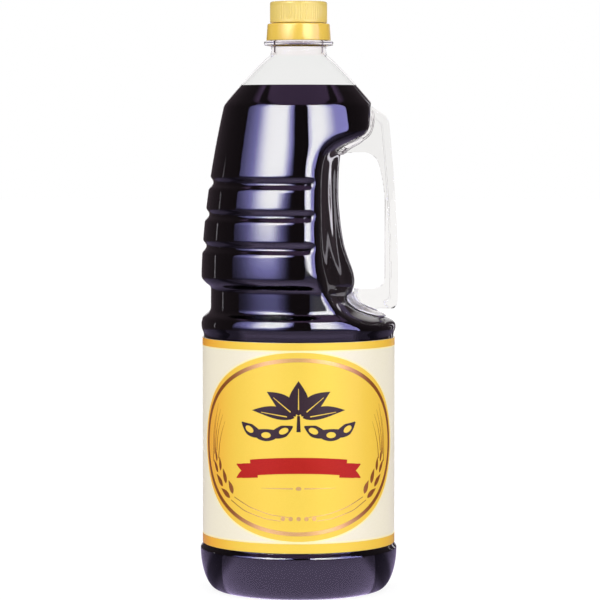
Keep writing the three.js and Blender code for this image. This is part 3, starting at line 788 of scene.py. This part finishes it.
@dataclass
class Handle:
    """The clear handle: a web with an outer flange, and pads that hug the body, melted into one skin."""

    reach: float = 53.0
    top: float = 258.7
    foot: float = 150.5
    grip_inner: float = 46.3
    web_half: float = 5.0
    flange_half: float = 8.9
    flange_thickness: float = 3.6
    opening_bottom: float = 161.0
    opening_top: float = 234.2
    gap: float = 0.3
    pad_thickness: float = 1.6
    pad_squareness: float = 0.6
    side_draw_in: float = 0.2
    pads: tuple = ((232.4, 242.6, 18.5), (240.8, 257.4, 13.5), (145.9, 159.6, 14.6))
    voxel: float = 0.45
    smoothing: int = 18

    def outer_edge(self, inset: float) -> np.ndarray:
        """Outer edge from the top to the foot, in X and Z, moved inwards: lines and quadratic curves."""
        reach, foot = self.reach - inset, self.foot + inset
        return traced(
            (34.0, self.top - inset), (39.0, self.top - 0.6 - inset), (43.1 - inset / 2, 255.5 - inset),
            ((47.8 - inset, 253.2 - inset), (48.2 - inset, 249.2), 6), ((reach - 0.1, 200.6), (reach, 170.2), 24),
            (reach - 0.2, foot + 4), ((reach - 0.4, foot), (reach - 4, foot), 6),
        )

    def web_loop(self) -> np.ndarray:
        """Outline of the arms and grip in X and Z, its left ends following the body."""
        ends = [[30.0, z] for z in np.arange(self.foot + 0.3, self.opening_bottom, 0.7)]
        low, grip = self.opening_bottom, self.grip_inner
        inner = traced(
            (24.3, low), (39.3, low), ((grip, low), (grip, 168.0), 8), (grip, 190.0), (grip, 208.7),
            ((45.3, 219.8), (43.0, 227.9), 6), ((41.0, 233.8), (34.4, self.opening_top), 8), (24.3, 233.8),
        )
        upper = [[18.0, z] for z in np.arange(234.4, self.top, 0.7)]
        return np.concatenate([self.outer_edge(0.0), ends, inner, upper])

    def flange_loop(self) -> np.ndarray:
        """Outline of the flange: the outer edge and back along the same edge moved inwards."""
        outer, inner = self.outer_edge(0.0), self.outer_edge(self.flange_thickness)
        return np.concatenate([outer, inner[::-1]])

    def slab(self, loop: np.ndarray, half: float) -> Shell:
        """Carries an outline across the bottle, never nearer the body than the gap: x = max(x, skin x + gap).

        Args:
            loop: Outline in X and Z.
            half: Half its width along Y.
        """
        across = half * np.sin(np.linspace(-np.pi / 2, np.pi / 2, 13))[:, None]
        x, z = (loop[None, :, axis] + 0 * across for axis in (0, 1))
        x = x - np.sign(x - loop[:, 0].mean()) * self.side_draw_in * (np.abs(across) > half * 0.98)
        angle = SKIN.angle_at(z, across)
        body_x = SKIN.radius(z, angle) * np.cos(angle) + self.gap
        grid = np.stack([np.maximum(x, body_x), across + 0 * z, z], -1)
        centre = grid.mean(1)
        return Shell.around(grid, centre[0], centre[-1])

    def pad(self, bottom: float, top: float, half: float) -> Shell:
        """A pad lying on the body: a squared oval in height and Y, from the gap to its thickness, thinner at its rim.

        Args:
            bottom: Its lowest height on the skin.
            top: Its highest height on the skin.
            half: Half its width along Y.
        """
        turn = np.linspace(0, 2 * np.pi, 72, endpoint=False)[None, :]
        share = np.linspace(0.06, 1, 20)[:, None]
        aside, up = (np.sign(way) * np.abs(way) ** self.pad_squareness for way in (np.cos(turn), np.sin(turn)))
        across = half * share * aside
        height = (bottom + top) / 2 + (top - bottom) / 2 * share * up
        angle = SKIN.angle_at(height, across)
        thickness = self.pad_thickness * np.sqrt(np.clip(1.04 - share ** 6, 0, 1))
        under = SKIN.point(height, angle, -self.gap)
        over = SKIN.point(height, angle, -self.gap - thickness)
        grid = np.concatenate([under, over[::-1]])
        return Shell.around(grid, under[0].mean(0), over[0].mean(0))

    def melted(self, shell: Shell) -> tuple[np.ndarray, np.ndarray]:
        """Melts overlapping parts into one skin by a voxel remesh, smooths it and keeps it off the body.

        Args:
            shell: The overlapping parts.

        Returns:
            Points in millimetres and the quads of the melted skin.
        """
        rough = shell.make("handle_rough")
        rough.modifiers.new("melt", "REMESH").mode = "VOXEL"
        rough.modifiers["melt"].voxel_size = self.voxel * MM
        smooth = rough.modifiers.new("soften", "SMOOTH")
        smooth.factor, smooth.iterations = 0.5, self.smoothing
        graph = bpy.context.evaluated_depsgraph_get()
        baked = bpy.data.meshes.new_from_object(rough.evaluated_get(graph))
        points = np.empty(len(baked.vertices) * 3)
        baked.vertices.foreach_get("co", points)
        corners = np.empty(len(baked.loops), int)
        baked.loops.foreach_get("vertex_index", corners)
        points = points.reshape(-1, 3) / MM
        angle, radius = np.arctan2(points[:, 1], points[:, 0]), np.hypot(points[:, 0], points[:, 1])
        least = SKIN.radius(points[:, 2], angle) + self.gap * 0.7
        scale = np.where(radius < least, least / radius, 1.0)
        points[:, :2] *= scale[:, None]
        bpy.data.objects.remove(rough)
        return points, corners.reshape(-1, 4)

    def build(self) -> None:
        """Makes the handle, with a whiter look where its foot hugs the body."""
        parts = [
            self.slab(self.web_loop(), self.web_half), self.slab(self.flange_loop(), self.flange_half),
            *[self.pad(*place) for place in self.pads],
        ]
        points, quads = self.melted(Shell.joined(parts))
        middle = points[quads].mean(1)
        angle = np.arctan2(middle[:, 1], middle[:, 0])
        off = np.hypot(middle[:, 0], middle[:, 1]) - SKIN.radius(middle[:, 2], angle)
        foot = (middle[:, 2] < self.opening_bottom) & (off < self.pad_thickness * 2.4) & (middle[:, 0] > 20)
        shell = Shell(points, quads, np.zeros((0, 3), int))
        piece = shell.make("handle_moulding", Look.HANDLE.material(), Look.HUGGED.material(), marks=foot)
        dress(piece, "clear_handle", "handle")


# Label


@dataclass
class Label:
    """The printed paper sleeve. Print is placed by arc from the front, positive to the right, and height."""

    inner: float = 50.86
    outer: float = 51.4
    bottom: float = float(node_span("label")[0][2])
    top: float = float(node_span("label")[1][2])
    centre: float = 81.1
    print_thickness: float = 0.045
    sunk: float = 0.03
    disc: tuple = (63.2, 49.4)
    ring: tuple = (60.6, 45.4)
    ring_width: float = 2.1
    leaves: tuple = ((90, 18.0, 10.5), (48, 17.0, 8.6), (132, 17.0, 8.6), (12, 17.5, 6.4), (168, 17.5, 6.4))
    lift: dict = field(default_factory=lambda: {"field": 0.0, "over": 0.05, "upon": 0.1})

    def wrap(self, arc: np.ndarray, height: np.ndarray, layer: str, over: bool) -> np.ndarray:
        """Wraps flat print on the sleeve: the angle is arc / outer - 90 degrees.

        Args:
            arc: Distances round the sleeve from the front.
            height: Heights from the print's centre.
            layer: Name of the layer the print lies on.
            over: Whether these are the print's outer points.

        Returns:
            Points on the sleeve.
        """
        radius = self.outer + self.lift[layer] + (self.print_thickness if over else -self.sunk)
        angle = arc / self.outer - np.pi / 2
        return np.stack([radius * np.cos(angle), radius * np.sin(angle), self.centre + height], -1)

    def blob(self, arc: np.ndarray, height: np.ndarray, layer: str) -> Shell:
        """Print that fills an outline, given as rings from its middle outwards, anticlockwise.

        Args:
            arc: Arcs of the rings, rows by columns.
            height: Heights of the rings.
            layer: Name of the layer it lies on.
        """
        under, over = (self.wrap(arc, height, layer, side) for side in (False, True))
        poles = [self.wrap(arc[0].mean(), height[0].mean(), layer, side) for side in (False, True)]
        return Shell.around(np.concatenate([under, over[::-1]]), *poles)

    def stroke(self, path: np.ndarray, width: np.ndarray, layer: str) -> Shell:
        """Print along a line: its sides lie half the width to the left and right of the path.

        Args:
            path: Arc and height of each station.
            width: Width at each station.
            layer: Name of the layer it lies on.
        """
        along = np.gradient(path, axis=0)
        along /= np.linalg.norm(along, axis=1)[:, None]
        left = np.stack([-along[:, 1], along[:, 0]], -1)
        count = 2 + int(width.max() / 1.2)
        offset = np.linspace(0.5, -0.5, count)[None, :] * width[:, None]
        flat = path[:, None, :] + offset[..., None] * left[:, None, :]
        under, over = (self.wrap(flat[..., 0], flat[..., 1], layer, side) for side in (False, True))
        grid = np.concatenate([over, under[:, ::-1]], 1)
        return Shell.around(grid, grid[0].mean(0), grid[-1].mean(0))

    def leaf(self, base: tuple, tip: tuple, width: float, lean: float) -> Shell:
        """A pointed leaf or grain: its width is w sin(pi s^0.75), and its middle bows sideways by lean sin(pi s).

        Args:
            base: Arc and height of its round end.
            tip: Arc and height of its point.
            width: Its widest width.
            lean: How far its middle bows to the left.
        """
        share = np.linspace(0, 1, 15)
        start, end = np.array(base), np.array(tip)
        side = np.array([-(end - start)[1], (end - start)[0]]) / np.linalg.norm(end - start)
        path = start + share[:, None] * (end - start) + lean * np.sin(np.pi * share)[:, None] * side
        spread = width * np.sin(np.pi * share ** 0.75) + 0.06
        return self.stroke(path, spread, "over")

    def oval(self, middle: tuple, half: tuple, turn: float, layer: str) -> Shell:
        """A filled oval, turned anticlockwise: middle + rotation of (a s cos t, b s sin t)."""
        around = np.linspace(0, 2 * np.pi, 28, endpoint=False)[None, :]
        share = np.linspace(0.15, 1, 3)[:, None]
        across, up = half[0] * share * np.cos(around), half[1] * share * np.sin(around)
        cosine, sine = math.cos(turn), math.sin(turn)
        return self.blob(middle[0] + across * cosine - up * sine, middle[1] + across * sine + up * cosine, layer)

    @staticmethod
    def hoop(inner: float, outer: float, heights: np.ndarray) -> Shell:
        """A hoop round the bottle from an inner to an outer radius, with a row at each height."""
        profile = [(outer, z) for z in heights] + [(inner, z) for z in heights[::-1]]
        return lathe(np.array(profile), 360, False)

    def sleeve(self) -> bpy.types.Object:
        """Makes the paper sleeve with its thin lap at the back."""
        shells = [self.hoop(self.inner, self.outer, np.linspace(self.bottom, self.top, 40))]
        rise = np.linspace(self.bottom + 0.05, self.top - 0.05, 40) - self.centre
        back = np.full(40, np.pi * self.outer - 4.0)
        shells.append(self.stroke(np.stack([back, rise], -1), np.full(40, 7.0), "field"))
        return Shell.joined(shells).make("label_paper", Look.PAPER.material())

    def bands(self) -> list[Shell]:
        """The yellow bands at the top and bottom edges."""
        spans = ((self.bottom + 0.05, self.bottom + 5.0), (self.top - 3.9, self.top - 0.05))
        return [self.hoop(self.outer - self.sunk, self.outer + 0.075, np.linspace(*span, 5)) for span in spans]

    def hairlines(self) -> list[Shell]:
        """The pale lines beside the bands and round the disc."""
        shells = [self.hoop(self.outer - self.sunk, self.outer + 0.06, np.array([height - 0.3, height + 0.3]))
                  for height in (self.bottom + 5.45, self.top - 4.25)]
        return [*shells, self.oval_ring(self.disc[0] + 0.35, self.disc[1] + 0.35, 0.8)]

    def oval_ring(self, half_arc: float, half_height: float, width: float) -> Shell:
        """A ring of even width on an oval: the oval's points moved along its normal by up to half the width."""
        turn = np.linspace(0, 2 * np.pi, 240, endpoint=False)[None, :]
        normal = np.stack([np.cos(turn) / half_arc, np.sin(turn) / half_height], -1)
        normal /= np.linalg.norm(normal, axis=-1)[..., None]
        move = np.linspace(-width / 2, width / 2, 4)[:, None]
        arc, height = half_arc * np.cos(turn), half_height * np.sin(turn)
        under, over = (self.wrap(arc + move * normal[..., 0], height + move * normal[..., 1], "over", side)
                       for side in (False, True))
        return Shell.around(np.concatenate([under, over[::-1]]))

    def field_disc(self) -> Shell:
        """The yellow oval field."""
        turn = np.linspace(0, 2 * np.pi, 216, endpoint=False)[None, :]
        share = np.linspace(0.02, 1, 34)[:, None]
        return self.blob(self.disc[0] * share * np.cos(turn), self.disc[1] * share * np.sin(turn), "field")

    def barley(self, side: int) -> list[Shell]:
        """An ear of grain at one side of the ring: grains, awns and two stems."""
        grains = [
            ((-50.9, -9.8), (-52.9, -2.6), 1.2), ((-50.0, -15.6), (-54.0, -9.0), 1.5),
            ((-47.5, -14.3), (-48.6, -7.2), 1.5), ((-45.6, -22.6), (-51.2, -16.4), 1.9),
            ((-42.9, -20.7), (-45.5, -13.0), 1.9), ((-39.9, -28.1), (-46.8, -23.6), 2.0),
            ((-37.8, -25.7), (-40.9, -18.9), 2.1),
        ]
        awns = [((-53.4, -6.0), (-49.4, 21.0)), ((-52.4, -5.0), (-47.4, 18.0)), ((-51.0, -4.0), (-45.4, 15.6)),
                ((-49.2, -8.0), (-43.6, 12.0)), ((-54.2, -10.0), (-52.2, 14.0))]
        stems = [[(-38.9, -29.1), (-30.1, -34.0), (-17.8, -37.6), (-9.5, -38.6)],
                 [(-36.6, -27.3), (-26.4, -32.0), (-15.0, -35.4), (-5.0, -36.6)]]
        mirror = np.array([1.0 if side < 0 else -1.0, 1.0])
        shells = [self.leaf(base * mirror, tip * mirror, width * 1.35, 0.3 * side) for base, tip, width in grains]
        for base, tip in awns:
            share = np.linspace(0, 1, 16)[:, None]
            path = np.array(base) + share * (np.array(tip) - np.array(base))
            path = (path - np.sin(np.pi * share) * np.array([1.3, 0.0])) * mirror
            shells.append(self.stroke(path, 0.5 * (1.1 - share[:, 0]), "over"))
        for stem in stems:
            knots = np.array(stem) * mirror
            share = np.linspace(0, 1, 24)
            path = np.stack([np.interp(share, np.linspace(0, 1, 4), knots[:, axis]) for axis in (0, 1)], -1)
            path[1:-1] = (path[:-2] + 2 * path[1:-1] + path[2:]) / 4
            shells.append(self.stroke(path, np.full(24, 0.4), "over"))
        return shells

    @staticmethod
    def leaf_line(degrees: float, start: float) -> tuple[np.ndarray, np.ndarray]:
        """Start and way of a line in the fan of leaves, which is wider than high."""
        way = np.array([math.cos(math.radians(degrees)) * 1.35, math.sin(math.radians(degrees))])
        return np.array([0.0, 15.0]) + way * start, way

    def emblem(self) -> list[Shell]:
        """A plain motif of soybeans: a fan of leaves on a stalk over two bean pods that curve outwards."""
        shells = []
        for degrees, length, width in self.leaves:
            base, way = self.leaf_line(degrees, 1.6)
            shells.append(self.leaf(base, base + way * length, width, 1.2 * np.sign(90 - degrees)))
        for side in (-1, 1):
            share = np.linspace(0, 1, 40)
            swell = 4.6 + 1.7 * np.abs(np.sin(share * 3 * np.pi)) ** 0.8
            width = swell * np.clip(np.minimum(share, 1 - share) * 6, 0.04, 1) ** 0.6
            shells.append(self.stroke(self.pod(share, side), width, "over"))
        stalk = np.array([[0.0, z] for z in np.linspace(16.5, 8.0, 8)])
        shells.append(self.stroke(stalk, np.linspace(1.4, 2.2, 8), "over"))
        return shells

    def pod(self, share: np.ndarray, side: int) -> np.ndarray:
        """Middle line of a pod: outwards evenly, while it sinks by a sine and rises by a square."""
        return np.stack([side * (3.0 + 28.5 * share), 11.0 - 9.0 * np.sin(share * 1.9) + 10.0 * share ** 2], -1)

    def beans(self) -> list[Shell]:
        """Yellow ovals on the pods, one for each bean, and a vein along each leaf."""
        shells = []
        for side in (-1, 1):
            for share in (1 / 6, 0.5, 5 / 6):
                spot, ahead = self.pod(np.array([share, share + 0.01]), side)
                slope = math.atan2(ahead[1] - spot[1], ahead[0] - spot[0])
                shells.append(self.oval(tuple(spot), (2.6, 1.55), slope, "upon"))
        for degrees, length, _ in self.leaves:
            base, way = self.leaf_line(degrees, 4.6)
            path = base + np.linspace(0, 1, 10)[:, None] * way * (length - 7.0)
            shells.append(self.stroke(path, np.linspace(0.6, 0.25, 10), "upon"))
        return shells

    def ribbon(self) -> list[Shell]:
        """The red ribbon under the motif: a gently arched bar between two forked tails."""
        arc = np.linspace(-26.0, 26.0, 40)
        bar = self.stroke(np.stack([arc, -9.6 - 1.6 * (arc / 26) ** 2], -1), np.full(40, 8.4), "upon")
        tails = []
        for side in (-1, 1):
            for way in (-1, 1):
                reach = np.linspace(22.0, 35.0, 12)
                middle = -12.4 + way * 1.9 + 0 * reach - 0.08 * (reach - 22)
                width = np.interp(reach, [22, 31.5, 35], [3.9, 3.9, 0.5])
                path = np.stack([side * reach, middle + way * np.interp(reach, [31.5, 35], [0, 1.7])], -1)
                tails.append(self.stroke(path, width, "over"))
        return [bar, *tails]

    def trims(self) -> list[Shell]:
        """Bronze trims: the ring, a thin rule with a lozenge under the ribbon, and a row of dots at the foot."""
        shells = [self.oval_ring(*self.ring, self.ring_width)]
        for side in (-1, 1):
            rule = np.stack([side * np.linspace(3.0, 20.0, 14), np.full(14, -21.6)], -1)
            shells.append(self.stroke(rule, np.linspace(0.7, 0.15, 14), "over"))
        shells.append(self.oval((0.0, -21.6), (1.5, 1.0), 0.0, "over"))
        for spot in np.linspace(-8.2, 8.2, 5):
            shells.append(self.oval((float(spot), -37.4), (1.15, 1.15), 0.0, "over"))
        return shells

    def build(self) -> None:
        """Makes the sleeve and each colour of print as its own piece."""
        dress(self.sleeve(), "label_paper", "label")
        ears = self.barley(-1) + self.barley(1)
        prints = [
            ("label_yellow_print", Look.YELLOW, [self.field_disc(), *self.bands()]),
            ("label_pale_lines", Look.PALE, self.hairlines()),
            ("label_bronze_print", Look.BRONZE, [*self.trims(), *ears]),
            ("label_dark_motif", Look.DARK, self.emblem()),
            ("label_motif_details", Look.YELLOW, self.beans()),
            ("label_red_ribbon", Look.RED, self.ribbon()),
        ]
        for name, look, shells in prints:
            dress(Shell.joined(shells).make(name, look.material()), "label_paper")


# Cap and collar


@dataclass
class Closure:
    """The ribbed cap and the smooth collar under it."""

    cap_radius: float = 15.2
    cap_bottom: float = float(node_span("cap")[0][2])
    cap_top: float = float(node_span("cap")[1][2])
    roof: float = 1.8
    ribs: int = 72
    columns_per_rib: int = 6
    rib_depth: float = 0.18
    bore: float = 14.1
    collar_radius: float = 17.2
    collar_bottom: float = float(node_span("pour_collar")[0][2])
    collar_top: float = float(node_span("pour_collar")[1][2])

    def cap(self) -> bpy.types.Object:
        """Makes the cap: a cup whose side is drawn in by depth (0.5 - 0.5 cos(ribs a))^1.5 between plain edges."""
        ceiling = self.cap_top - self.roof
        inside = [(0.6, ceiling), (self.bore, ceiling), (self.bore, self.cap_bottom)]
        corner = rounded([(self.bore, self.cap_bottom, 0), (self.cap_radius, self.cap_bottom, 0.25),
                          (self.cap_radius, self.cap_top, 1.25), (10.0, self.cap_top, 0)], 7)[1:-1]
        side = np.linspace(self.cap_bottom + 0.4, self.cap_top - 1.4, 22)
        low, high = corner[corner[:, 1] < self.cap_bottom + 1], corner[corner[:, 1] > self.cap_top - 2]
        top = [(radius, self.cap_top) for radius in (12.6, 6.0, 1.0)]
        rows = [*inside, *low, *[(self.cap_radius, z) for z in side], *high, *top]
        shell = lathe(np.array(rows), self.ribs * self.columns_per_rib, True)
        x, y, z = shell.points.T
        angle, radius = np.arctan2(y, x), np.hypot(x, y)
        fade = ramp(z, self.cap_bottom + 1.1, self.cap_bottom + 1.7) * ramp(z, self.cap_top - 1.1, self.cap_top - 2.3)
        drawn = self.rib_depth * (0.5 - 0.5 * np.cos(self.ribs * angle)) ** 1.5 * fade * (radius > self.bore + 0.5)
        shell.points[:, :2] *= (1 - drawn / np.maximum(radius, 1))[:, None]
        return shell.make("cap_cup", Look.PALER_PLASTIC.material())

    def collar(self) -> bpy.types.Object:
        """Makes the collar: a ring that narrows a little upwards, with rounded edges and a step in to the cap."""
        bottom, top, radius = self.collar_bottom, self.collar_top, self.collar_radius
        profile = rounded([
            (self.bore, top, 0.2), (self.bore, bottom, 0.2), (radius, bottom, 0.35), (radius - 0.6, top - 0.4, 0.4),
            (self.cap_radius + 0.4, top, 0.25),
        ])
        return lathe(profile, 240, False).make("collar_ring", Look.PLASTIC.material())

    def build(self) -> None:
        """Makes both."""
        dress(self.cap(), "yellow_plastic", "cap")
        dress(self.collar(), "yellow_plastic", "pour_collar")


# Studio


@dataclass
class Studio:
    """White surroundings, a dark tent with soft lights for what the plastic reflects, a pale floor, the camera.

    Directions in the tent are a signed azimuth from the front, to the right, and an elevation, both in degrees.
    """

    white_light: tuple = (16.6, 16.6, 17.2)
    violet_light: tuple = (4.0, 3.8, 9.0)
    roof_light: tuple = (0.5, 0.3, 0.66)
    strip_light: tuple = (1.7, 1.65, 1.8)
    # Colour of the painted glow that the floor shows only in mirrors.
    painted_floor_glow: tuple = (1.15, 0.92, 1.6)
    dark: tuple = (0.1, 0.075, 0.09)
    left_span: tuple = (-84.5, -3.0)
    right_span: tuple = (14.5, 79.5)
    strips: tuple = ((143.0, 146.0, 0.4), (155.0, 158.0, 1.0))
    floor_radii: tuple = (30.0, 60.0, 120.0, 250.0, 1000.0, 9000.0)
    floor_top: float = -0.02
    floor_bottom: float = -4.0
    camera_place: tuple = (0.00075, -1.6032, 0.2458)
    camera_tilt: float = 3.243
    lens: float = 180.0

    def side_light(self, wiring: Wiring, signed: object, height: object) -> bpy.types.NodeSocket:
        """Strength of the two tall side lights, each soft towards its rims and fading below the horizon."""
        ease, math_of = wiring.ease, wiring.math
        azimuth = math_of("ABSOLUTE", signed)
        rim = self.sloping(wiring, azimuth, ease(height, 22.0, 8.0), (4.5, 4.5), (6.0, 20.0))
        edge = math_of("MULTIPLY_ADD", ease(azimuth, 84.0, 34.0, -0.66, 0.0), ease(height, 14.0, 4.0), 1.0)
        left = wiring.product(wiring.window(signed, *self.left_span, 1.6), rim, edge,
                              ease(height, -7.0, 5.0, 0.12, 1.0))
        lift = math_of("MULTIPLY_ADD", math_of("MINIMUM", azimuth, 60.0), 0.2, -8.0)
        right = wiring.product(wiring.window(signed, *self.right_span, 1.6),
                               ease(math_of("ADD", height, lift), -3.0, 2.0, 0.07, 1.0))
        return wiring.product(math_of("ADD", left, right), ease(height, 46.0, 50.0, 1.0, 0.0))

    def side_colour(self, wiring: Wiring, signed: object, height: object) -> bpy.types.NodeSocket:
        """Colour of the side lights: violet with a white core, and darker violet at the far left."""
        ease = wiring.ease
        azimuth = wiring.math("ABSOLUTE", signed)
        inner = self.sloping(wiring, azimuth, ease(height, 22.0, 8.0), (9.0, 10.0), (12.0, 5.0))
        left_core = wiring.product(ease(azimuth, 66.0, 40.0), ease(height, 0.0, 14.0), inner)
        right_core = wiring.product(ease(azimuth, 10.0, 24.0), ease(azimuth, 62.0, 34.0), ease(height, -9.0, 2.0))
        core = wiring.mixed(wiring.math("GREATER_THAN", signed, 0.0), wiring.grey(left_core), wiring.grey(right_core))
        violet = wiring.tinted(self.violet_light, ease(signed, -91.0, -47.0, 0.14, 1.0))
        return wiring.mixed(core, violet, (*self.white_light, 1.0))

    def reflected(self, wiring: Wiring) -> bpy.types.NodeSocket:
        """Colour of the tent: side lights, roof patch, strips and a glint aside, white behind, dark elsewhere."""
        ease, product, tinted = wiring.ease, wiring.product, wiring.tinted
        x, y, z = wiring.parts("Generated")
        degrees = 180 / math.pi
        signed = product(wiring.math("ARCTAN2", x, product(y, -1.0)), degrees)
        height = product(wiring.math("ARCSINE", z), degrees)
        shining = tinted(self.side_colour(wiring, signed, height), self.side_light(wiring, signed, height))
        spread = wiring.math("DIVIDE", wiring.math("ABSOLUTE", x), wiring.math("MAXIMUM", z, 0.05))
        spread = wiring.math("ADD", spread, ease(height, 50.0, 60.0, -0.3, 0.0))
        roof = product(ease(spread, 0.49, 0.55, 1.0, 0.0), ease(height, 47.0, 55.0))
        first, second = (product(wiring.window(signed, low, high, 1.0), gain) for low, high, gain in self.strips)
        strips = product(wiring.math("ADD", first, second), ease(height, 22.0, 14.0))
        behind = product(ease(wiring.math("ABSOLUTE", signed), 165.0, 171.0), ease(height, 60.0, 45.0))
        glint = product(wiring.window(signed, -118.0, -116.6, 0.5), wiring.window(height, -5.0, 9.0, 2.0))
        return wiring.total(
            shining, tinted(self.roof_light, roof), tinted(self.strip_light, strips),
            tinted(self.strip_light, glint), tinted((1.0, 1.0, 1.0), behind), tinted(self.dark, 1.0),
        )

    @staticmethod
    def sloping(wiring: Wiring, azimuth: object, low: object, start: tuple, width: tuple) -> bpy.types.NodeSocket:
        """Returns a smooth rise over azimuth whose start and width are a + b low."""
        begun = wiring.math("SUBTRACT", azimuth, wiring.math("MULTIPLY_ADD", low, start[1], start[0]))
        share = wiring.math("DIVIDE", begun, wiring.math("MULTIPLY_ADD", low, width[1], width[0]))
        return wiring.ease(share, 0.0, 1.0)

    def surroundings(self) -> None:
        """Makes the world: the tent for mirrored rays, soft even light for diffuse ones, white for the rest."""
        world = bpy.data.worlds.new("studio_tent")
        bpy.context.scene.world = world
        world.use_nodes = True
        world.cycles.sampling_method = "NONE"
        wiring = Wiring(world.node_tree)
        soft = wiring.tinted((1.0, 0.99, 0.985), wiring.ease(wiring.parts("Generated")[1], 1.0, -1.0, 0.8, 1.12))
        diffuse = wiring.node("ShaderNodeLightPath").outputs["Is Diffuse Ray"]
        colour = wiring.mixed(diffuse, (1, 1, 1, 1), soft)
        colour = wiring.mixed(wiring.mirrored(), colour, self.reflected(wiring))
        light = wiring.fed("ShaderNodeBackground", (colour,))
        wiring.feed(wiring.node("ShaderNodeOutputWorld").inputs["Surface"], light)

    def ground(self) -> None:
        """Makes the pale floor, a wide disc."""
        top = [(radius, self.floor_top) for radius in self.floor_radii]
        rows = [*top, (self.floor_radii[-1], self.floor_bottom), (self.floor_radii[0], self.floor_bottom)]
        floor = lathe(np.array(rows)[::-1], 96, True).make("floor", self.floor_finish())

    def pool(self, wiring: Wiring, x: object, y: object, reach: object) -> bpy.types.NodeSocket:
        """Strength of the painted light pool that the floor shows in mirrors: full in front of a bent line, low behind
        it as painted shadow of the bottle, and low at the sides.
        """
        ease = wiring.ease
        line = wiring.math("MULTIPLY_ADD", wiring.math("ABSOLUTE", x), 0.12, -0.03)
        front = ease(wiring.math("SUBTRACT", y, line), 0.0015, -0.0015, 0.3, 1.0)
        aside = ease(wiring.math("ABSOLUTE", wiring.math("DIVIDE", x, reach)), 0.9, 0.99, 1.0, 0.3)
        return wiring.product(ease(reach, 0.09, 0.14, 1.12, 1.0), ease(reach, 0.13, 0.3, 1.0, 0.6), front, aside)

    def floor_finish(self) -> bpy.types.Material:
        """Returns the floor's material: a lit white with faint contact shadows, in mirrors a painted violet pool of
        light in front and painted shadow behind.
        """
        finish = Finish("pale_floor", (0.2, 0.2, 0.2, 1), (0.19, 0.19, 0.19, 1), 0.9, 0.0, 40.0, bump=0.0, constants=(
            ("Specular IOR Level", 0.0), ("Emission Color", (1, 1, 1, 1)), ("Emission Strength", 0.88)))
        material = finish.build()
        material.cycles.emission_sampling = "NONE"
        wiring = Wiring(material.node_tree, keep=True)
        x, y, _ = wiring.parts("Object")
        reach = wiring.math("SQRT", wiring.math("ADD", wiring.product(x, x), wiring.product(y, y)))
        # Painted reflection: mirrored rays see the floor glow, a painted pool of light in front of the bottle and
        # painted shadow behind it.
        shine = wiring.fed("ShaderNodeEmission", (wiring.tinted(self.painted_floor_glow, self.pool(wiring, x, y, reach)),))
        glow = wiring.blend(wiring.ease(reach, 0.6, 1.0), shine, wiring.fed("ShaderNodeBsdfTransparent", ()))
        out = next(node for node in material.node_tree.nodes if node.bl_idname == "ShaderNodeOutputMaterial")
        lit = out.inputs["Surface"].links[0].from_socket
        wiring.feed(out.inputs["Surface"], wiring.blend(wiring.mirrored(), lit, glow))
        return material

    def camera(self) -> None:
        """Sets the camera at the photograph's place, tilt and lens."""
        data = bpy.data.cameras.new("photo_view")
        data.lens, data.sensor_width = self.lens, 36.0
        data.clip_start, data.clip_end = 0.05, 50.0
        camera = bpy.data.objects.new("photo_view", data)
        camera.location = self.camera_place
        camera.rotation_euler = (math.radians(90 - self.camera_tilt), 0, 0)
        bpy.context.scene.collection.objects.link(camera)
        bpy.context.scene.camera = camera

    def build(self) -> None:
        """Sets the camera, the surroundings and the floor."""
        self.camera()
        self.surroundings()
        self.ground()
        bpy.context.scene.view_settings.view_transform = "Standard"


def main() -> None:
    """Builds the studio and each part of the bottle in order."""
    logging.basicConfig(level=logging.INFO, format="%(name)s: %(message)s")
    for builder in (Studio(), ClearBody(), Sauce(), Handle(), Label(), Closure()):
        builder.build()


if __name__ == "__main__":
    main()
